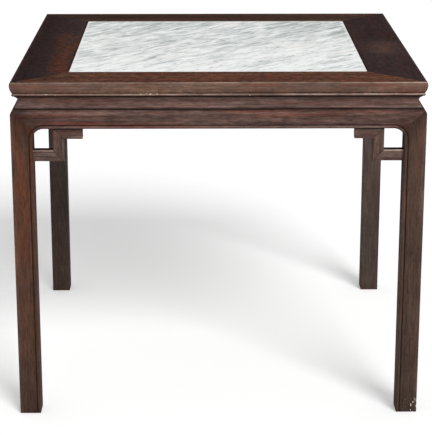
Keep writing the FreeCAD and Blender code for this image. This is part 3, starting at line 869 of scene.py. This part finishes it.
class BuildAprons(bpy.types.Operator):
    """Build the four aprons: sloping shoulder, laps over the legs, and a bead along the lower edge"""

    bl_idname = "eight_seat_table.aprons"
    bl_label = "Aprons"

    def execute(self, context):
        joinery, sizes, finish = settings(context)
        half, top, low = joinery.half, joinery.apron_top, joinery.apron_bottom
        lap, thick, gap = sizes.lap_thickness, sizes.apron_thickness, sizes.joint_gap
        ease = 1.2 * MM
        levels = joinery.line_levels()
        heights = np.concatenate([
            top - np.array([32, 26, 20, 16]) * MM, joinery.shoulder_table[:-1, 1] + top,
            [joinery.mitre_end(joinery.shoulder), top - ease, top],
        ])
        insets = joinery.shoulder(heights)
        insets[-1] += 1.0 * MM  # the top edge is eased
        # places along the straight middle, and shares of the way from its end round the corner to the mitre
        middle = np.linspace(0, joinery.arc_x, 24)
        corner = np.sin(np.linspace(0, math.pi / 2, 17))[1:]

        rows = []  # each row: x from the middle of the apron to its end, height, inset
        for level, inset in levels:
            radius = sizes.corner_radius + level
            turn = corner * (joinery.mitre_angle(level) - gap / radius)
            x = np.concatenate([middle, joinery.arc_x + radius * np.sin(turn)])
            z = np.concatenate([np.full(len(middle), low + level), joinery.arc_z + radius * np.cos(turn)])
            rows.append((x, z, inset))
        for z, inset in zip(heights, insets):
            end = half - max((top - z) / joinery.mitre_slope, joinery.shoulder(z)) - gap
            rows.append((np.concatenate([middle, joinery.arc_x + corner * (end - joinery.arc_x)]), z, inset))
        face_rows = len(rows)

        # the back, down from the top: behind the laps over the legs it stands further forward
        (foot_x, foot_z, _), head_x = rows[0], rows[-1][0]
        over_leg = head_x > joinery.leg_in + HAIR
        body_x = np.minimum(head_x, joinery.leg_in)
        rows += [
            (np.where(over_leg, np.minimum(head_x, half - lap), head_x), top, np.where(over_leg, lap, thick)),
            (body_x, top, thick),
            (body_x, low + levels[-1, 0], thick),
            (foot_x, foot_z + ease, thick),
            (foot_x, foot_z, thick - ease),
        ]
        x, z, inset = np.array([np.broadcast_arrays(*row) for row in rows]).transpose(1, 0, 2)
        # the hidden end: from the mitre straight back to the inside of the lap
        on_face = np.arange(len(rows)) < face_rows
        end_x, end_z, end_inset = x[:, -1], z[:, -1], inset[:, -1]
        end_inset = np.where(on_face, np.where(end_x > joinery.leg_in, lap, thick), end_inset)
        end_x = np.where(on_face, np.minimum(end_x, half - lap), end_x)
        x, z, inset = (np.column_stack(pair) for pair in ((x, end_x), (z, end_z), (inset, end_inset)))
        right = np.stack([x, -half + inset, z], axis=-1).transpose(1, 0, 2)
        rings = np.concatenate([right[:0:-1] * (-1, 1, 1), right])

        wood = blackwood("blackwood_aprons_waxed", finish.side_wood, finish)
        # painted highlights on the bend of the shoulder and on the bead, which is also worn
        rubbed = [joinery.along_front(2, top - 9 * MM, 3, 0.09)] + joinery.along_opening(4, 0, 2, 0.1)
        # painted shade at the joint under the waist, and a darker band below the bend; painted shade in the
        # groove and on the lower edge
        grimed = [joinery.along_front(9, top, 3.2, 1.0), joinery.along_front(0, top - 17 * MM, 4, 0.2)]
        grimed += joinery.along_opening(8.3, 1.5, 1.4, 1.0) + joinery.along_opening(0, 1.6, 1.8, 0.9)
        chipped = [level_line(0.36, 0.41, -half, low + 2 * MM, 3 * MM, 1.0)]
        corners = []
        for sign in (-1, 1):
            end = sign * half
            grimed += joinery.corner_dust(sign)
            chipped.append(((end, -half + 5 * MM, top - 4 * MM), (end, -half, top - 25 * MM), 5 * MM, 0.8))
            # painted shade on the shoulders of the side aprons, next to the corners
            corners.append(level_line(end, end - sign * 0.04, -half + 4 * MM, top - 5 * MM, 8 * MM, 0.9))
        for turns, side in enumerate(SIDE_ENDS):
            mesh = closed(loft(rings))
            dust_and_shade = corners if side in ("left", "right") else []
            mark_wood(mesh, 30 + turns, rubbed=rubbed, grime=grimed + dust_and_shade, chipped=chipped)
            dress(f"apron_board_{side}", mesh, f"apron_{side}", wood, turns)
        return {"FINISHED"}


class BuildLegs(bpy.types.Operator):
    """Build the four legs: a bead along each inner edge, rounded into the aprons at the top"""

    bl_idname = "eight_seat_table.legs"
    bl_label = "Legs"

    def execute(self, context):
        joinery, sizes, finish = settings(context)
        half, top, low = joinery.half, joinery.apron_top, joinery.apron_bottom
        width, lap, thick = sizes.leg_width, sizes.lap_thickness, sizes.apron_thickness
        block, gap = sizes.waist_back, sizes.joint_gap
        ease = 1.5 * MM
        # heights below the curve of the opening, and shares of the way from there up to the mitre
        lower = np.concatenate([np.array([0, 0.5, 1.5]) * MM, np.linspace(20 * MM, joinery.arc_z, 30)])
        upper = np.linspace(0, 1, 27)[1:]
        tuck = np.zeros(len(lower) + len(upper))
        tuck[:3] = np.array([1.5, 0.6, 0]) * MM  # the easing of the foot

        def heights_to(end):
            return np.concatenate([lower, joinery.arc_z + (end - joinery.arc_z) * upper])

        # half of each ring, from the inner corner to the middle of the outer arris:
        # distance from the outer face, depth behind the front, height
        turn = (math.pi / 2 - joinery.mitre_angle(0)) * upper
        z = np.concatenate([lower, joinery.arc_z + sizes.corner_radius * np.sin(turn)])
        reach = half - joinery.arc_x - sizes.corner_radius * np.cos(turn)
        reach = np.concatenate([np.full(len(lower), width), reach])
        rounded = width - 0.45 * ease  # the inner corner, cut back to the curve of its easing
        columns = [(rounded, rounded, z), (width, width - ease, z), (width, thick, z), (reach, thick, z)]
        inner = len(columns)  # the columns on the inner sides
        for level, inset in joinery.line_levels():
            radius = sizes.corner_radius + level
            turn = (math.pi / 2 - joinery.mitre_angle(level) - gap / radius) * upper
            reach = half - joinery.arc_x - radius * np.cos(turn)
            z = np.concatenate([lower, joinery.arc_z + radius * np.sin(turn)])
            columns.append((np.concatenate([np.full(len(lower), width - level), reach]), inset, z))
        for reach in np.array([34, 26, 18, 12]) * MM:
            z = heights_to(joinery.mitre_end(lambda z: reach) - gap)
            columns.append((reach, joinery.shoulder(z), z))
        for reach, inset in np.array([(2.0, 0.0), (1.0, 0.27), (0.6, 0.6)]) * MM:
            z = heights_to(joinery.mitre_end(lambda z: joinery.shoulder(z) + reach) - gap)
            columns.append((joinery.shoulder(z) + reach, joinery.shoulder(z) + inset, z))
        reach, inset, z = np.array([np.broadcast_arrays(*column) for column in columns]).transpose(1, 0, 2)
        # the foot is tucked in on all four sides
        reach[:inner] -= tuck
        inset[:2] -= tuck
        reach[inner:] = np.clip(reach[inner:], tuck, width * 2)
        reach[inner:] = np.where(reach[inner:] > width - HAIR, reach[inner:] - tuck, reach[inner:])
        inset[inner:] = np.maximum(inset[inner:], tuck)

        # above the mitre the leg goes on behind the laps of the aprons, out of sight
        last_reach, last_inset, last_z = reach[:, -1], inset[:, -1], z[:, -1]
        face = np.arange(len(columns)) >= inner
        web = face & (last_reach > width)
        back_inset = np.where(face, np.where(web, thick, np.minimum(lap, last_reach - 0.05 * MM)), last_inset)
        over = np.minimum(last_reach, width)
        lap_reach = np.where(face, np.maximum(over, lap), over)
        lap_inset = np.where(face & ~web, lap, back_inset)
        block_reach, block_inset = np.maximum(lap_reach, block), np.maximum(lap_inset, block)
        hidden = [
            (last_reach, back_inset, last_z),
            (over, back_inset, np.where(web | ~face, low + 1 * MM, last_z)),
            (lap_reach, lap_inset, np.full(len(columns), top)),
            (block_reach, block_inset, np.full(len(columns), top)),
            (block_reach, block_inset, np.full(len(columns), joinery.frame_bottom)),
        ]
        reach, inset, z = (np.column_stack(parts) for parts in zip((reach, inset, z), *hidden))
        front = np.stack([-half + reach, -half + inset, z], axis=-1)
        side = front[-2:0:-1][:, :, [1, 0, 2]]
        rings = np.concatenate([front, side]).transpose(1, 0, 2)

        wood = blackwood(
            "blackwood_legs_waxed", finish.leg_wood, finish, red=0.15, dark=0.25, light=0.0, fleck=0.1,
            faded=finish.greyed_wax_and_light,
        )
        arris = half - 0.7 * MM
        middle = (half + joinery.leg_in) / 2
        rubbed = [((-arris, -arris, 0), (-arris, -arris, low + 30 * MM), 1.6 * MM, 0.12)]
        # darker towards the foot
        grimed = [((-middle, -middle, 0), (-middle, -middle, low - 60 * MM), 0.1, 0.38, 0.0)]
        # the beads a little darker, and painted shade in the grooves
        beads, grooves = joinery.along_opening(4, 0, 2.5, 0.12), joinery.along_opening(8.3, 1.5, 1.4, 1.0)
        inside = np.array([(-joinery.leg_in, -half + 27 * MM, z) for z in (0.3, low)])
        undersides = []
        for order in ([0, 1, 2], [1, 0, 2]):  # the front face, then the side face
            undersides.append(inside[:, order])
            for start, end, *rest in beads + grooves + joinery.corner_dust(-1):
                grimed.append((np.array(start)[order], np.array(end)[order], *rest))
        whole = ((-middle, -middle, 0), (-middle, -middle, top), 0.09)
        scuffed = [((-half, -half, 0.004), (-joinery.leg_in, -half, 0.01), 18 * MM, 4.0)]
        # strengths at the foot and at the top of each leg. Wax was left to bloom on the back right one; the
        # back left one is painted lighter, most at the top, as painted light where the table shades it
        uses = {
            "front_left": {"warmth": (0.22, 0.82), "grime": (0.2, 0.06)},
            "front_right": {"warmth": (0.0, 0.22)},
            "back_right": {"faded": (0.38, 0.28), "grime": (0.14, 0.1)},
            "back_left": {"faded": (0.25, 0.75)},
        }
        for turns, (place, use) in enumerate(uses.items()):
            mesh = closed(loft(rings))
            # painted shade down the inner sides, deepest at the top, and most on those that face left and
            # right
            side_shade = (1.0, 0.1) if turns % 2 == 0 else (0.1, 1.0)
            marks = {mark: [(*whole, *strengths)] for mark, strengths in use.items()}
            marks["grime"] = grimed + marks.get("grime", [])
            marks["grime"] += [(*line, 21 * MM, 0.0, strength) for line, strength in zip(undersides, side_shade)]
            if place == "front_right":
                marks["chipped"] = scuffed
            mark_wood(mesh, 40 + turns, upright=True, rubbed=rubbed, **marks)
            dress(f"leg_post_{place}", mesh, f"leg_{place}", wood, turns)
        return {"FINISHED"}


class BuildSpandrels(bpy.types.Operator):
    """Build the eight hooked spandrels, each of three mitred sticks"""

    bl_idname = "eight_seat_table.spandrels"
    bl_label = "Spandrels"

    def execute(self, context):
        joinery, sizes, finish = settings(context)
        leg_in, face, gap = joinery.leg_in, sizes.stick_face, sizes.joint_gap
        high = joinery.apron_bottom
        low = high - sizes.spandrel_drop
        inner = leg_in - sizes.spandrel_window  # upright's side towards the leg
        outer = inner - face
        tip = outer - sizes.spandrel_hook
        front = -joinery.half + sizes.spandrel_recess
        back = front + sizes.stick_depth
        wood = blackwood("blackwood_spandrels_waxed", finish.hook_wood, finish, red=0.35, dark=0.5)

        def section(bottom, top):
            eases = (2.5 * MM, 2.5 * MM, 1 * MM, 1 * MM)
            corners = ((front, bottom), (front, top), (back, top), (back, bottom))
            return divided(eased([(*corner, ease) for corner, ease in zip(corners, eases)], 4), 2 * MM)

        # each stick at the left end: section, start and end of the run, and whether it stands up
        foot, head, lower_end = low - outer + gap, high - inner - gap, -inner + low + face - gap
        sticks = {
            "lower_stick": (section(low, low + face), (-leg_in, 0, 0), (lower_end, 0, -1), False),
            "upright": (section(outer, inner), (foot, 0, 1), (head, 0, 1), True),
            "upper_stick": (section(high - face, high), (high - inner + gap, 0, -1), (-tip, 0, 0), False),
        }
        # the upper arris of the lower stick, and two levels on the upper stick, under the apron
        crest, below, joint = low + face - 0.8 * MM, high - 5.5 * MM, high - 2 * MM
        deep, centre = (front + back) / 2, (outer + inner) / 2
        for turns, (side, places) in enumerate(SIDE_ENDS.items()):
            for end, place in enumerate(places):
                sign = 1 if end else -1
                to_leg, to_inner, to_outer, to_tip = (sign * x for x in (leg_in, inner, outer, tip))
                # painted highlights on the upper arris of the lower stick and on the upper stick just below
                # the apron
                rubbed = [
                    level_line(to_leg, to_inner, front + 0.8 * MM, crest, 1.6 * MM, 1.0),
                    level_line(to_inner, to_tip, front, below, 1.5 * MM, 0.2),
                ]
                # dark joints along the mitres; a painted shadow under the apron; painted shade on the top of
                # the lower stick and on the upright's side away from the leg
                grimed = [
                    ((to_inner, front, low + face), (to_outer, front, low), 0.6 * MM, 0.8),
                    ((to_inner, front, high), (to_outer, front, high - face), 0.6 * MM, 0.8),
                    level_line(to_inner, to_tip, front, joint, 1.4 * MM, 1.0),
                    level_line(to_leg, to_inner, deep, low + face, 8 * MM, 0.9),
                    ((to_outer, deep, low), (to_outer, deep, high), 10 * MM, 0.7),
                ]
                dust_and_shade = [((sign * centre, front, low), (sign * centre, front, high), 14 * MM, 0.2)]
                for count, (kind, (outline, start, stop, standing)) in enumerate(sticks.items()):
                    seed = 50 + 10 * turns + 5 * end + count
                    if standing and end:
                        # the run's X is the height, and its Z is the distance left of the middle
                        outline = [(y, -v) for y, v in outline]
                        start, stop = (start[0], 0, -start[2]), (stop[0], 0, -stop[2])
                    elif end:
                        start, stop = [(-x, 0, -slant) for x, _, slant in (stop, start)]
                    mesh = mitred_run(outline, start, stop, wood, divisions=14, seed=seed)
                    if standing:
                        mesh.transform(Matrix.Rotation(-math.pi / 2, 4, "Y"))
                    grime = grimed + dust_and_shade if standing else grimed
                    mark_wood(mesh, seed, upright=standing, rubbed=rubbed, grime=grime)
                    name = f"{side}_{place}_{kind}"
                    dress(f"hook_{name}", mesh, f"spandrel_{name}", wood, turns)
        return {"FINISHED"}


class FinishInside(bpy.types.Operator):
    """Give the stone's braces and the loose tenons their bare wood"""

    bl_idname = "eight_seat_table.inside"
    bl_label = "Braces and Tenons"

    def execute(self, context):
        wood = bare_pine(context.scene.table_finish)
        for name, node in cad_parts.items():
            if name.startswith("stone_brace") or name.endswith("tenons"):
                node.data.materials.clear()
                node.data.materials.append(wood)
        return {"FINISHED"}


class BuildStage(bpy.types.Operator):
    """Set the camera, the studio light and the pale floor"""

    bl_idname = "eight_seat_table.stage"
    bl_label = "Stage"

    def execute(self, context):
        scene, stage = context.scene, context.scene.table_stage
        scene.view_settings.view_transform = "Standard"

        camera = add_object("camera", bpy.data.cameras.new("camera"))
        camera.data.lens = stage.lens
        camera.data.sensor_width = stage.sensor
        camera.location = stage.place
        camera.rotation_euler = (math.pi / 2 - stage.pitch, 0, -stage.turn)
        scene.camera = camera

        key = add_object("key", bpy.data.lights.new("key", "SUN"))
        key.data.energy = stage.key_strength
        key.data.angle = stage.key_softness
        key.rotation_euler = (math.pi / 2 - stage.key_height, 0, stage.key_side)

        scene.world = bpy.data.worlds.new("studio")
        tree = emptied(scene.world)
        strength = add_node(
            tree, "ShaderNodeMix", {0: seen_directly(tree), 2: stage.fill_strength, 3: 1.0}, data_type="FLOAT"
        )[0]
        sky = add_node(tree, "ShaderNodeBackground", {"Color": (1, 1, 1, 1), "Strength": strength})
        add_node(tree, "ShaderNodeOutputWorld", {"Surface": sky["Background"]})

        mesh = bpy.data.meshes.new("floor")
        reach = stage.floor_reach
        corners = [(-reach, -reach, 0), (reach, -reach, 0), (reach, reach, 0), (-reach, reach, 0)]
        mesh.from_pydata(corners, [], [(0, 1, 2, 3)])
        floor = add_object("floor", mesh)
        floor.location.z = -stage.floor_drop
        paint = bpy.data.materials.new("studio_floor_matt_paint")
        tree = emptied(paint)
        lift = add_node(
            tree, "ShaderNodeMath", {0: seen_directly(tree), 1: stage.floor_lift}, operation="MULTIPLY"
        )[0]
        matt = add_node(tree, "ShaderNodeBsdfDiffuse", {"Color": (*stage.floor, 1)})[0]
        glow = add_node(tree, "ShaderNodeEmission", {"Color": (1, 1, 1, 1), "Strength": lift})[0]
        both = add_node(tree, "ShaderNodeAddShader", {0: matt, 1: glow})[0]
        add_node(tree, "ShaderNodeOutputMaterial", {"Surface": both})
        mesh.materials.append(paint)
        return {"FINISHED"}


STEPS = (
    BuildStage, BuildFrame, BuildStone, BuildWaist, BuildAprons, BuildLegs, BuildSpandrels, FinishInside,
)


class TablePanel(bpy.types.Panel):
    """Lists the table's building steps, sizes and colours"""

    bl_idname = "VIEW3D_PT_eight_seat_table"
    bl_label = "Eight-Seat Table"
    bl_space_type = "VIEW_3D"
    bl_region_type = "UI"
    bl_category = "Eight-Seat Table"

    def draw(self, context):
        for step in STEPS:
            self.layout.operator(step.bl_idname)
        for group in (context.scene.table_sizes, context.scene.table_finish, context.scene.table_stage):
            column = self.layout.column()
            for name in group.__annotations__:
                column.prop(group, name)


CLASSES = (TableSizes, TableFinish, StageSettings, *STEPS, TablePanel)


def register():
    for item in CLASSES:
        bpy.utils.register_class(item)
    bpy.types.Scene.table_sizes = bpy.props.PointerProperty(type=TableSizes)
    bpy.types.Scene.table_finish = bpy.props.PointerProperty(type=TableFinish)
    bpy.types.Scene.table_stage = bpy.props.PointerProperty(type=StageSettings)


def unregister():
    del bpy.types.Scene.table_sizes, bpy.types.Scene.table_finish, bpy.types.Scene.table_stage
    for item in reversed(CLASSES):
        bpy.utils.unregister_class(item)


def main():
    register()
    steps = bpy.ops.eight_seat_table
    steps.stage()
    steps.frame()
    steps.stone()
    steps.waist()
    steps.aprons()
    steps.legs()
    steps.spandrels()
    steps.inside()


if __name__ == "__main__":
    main()
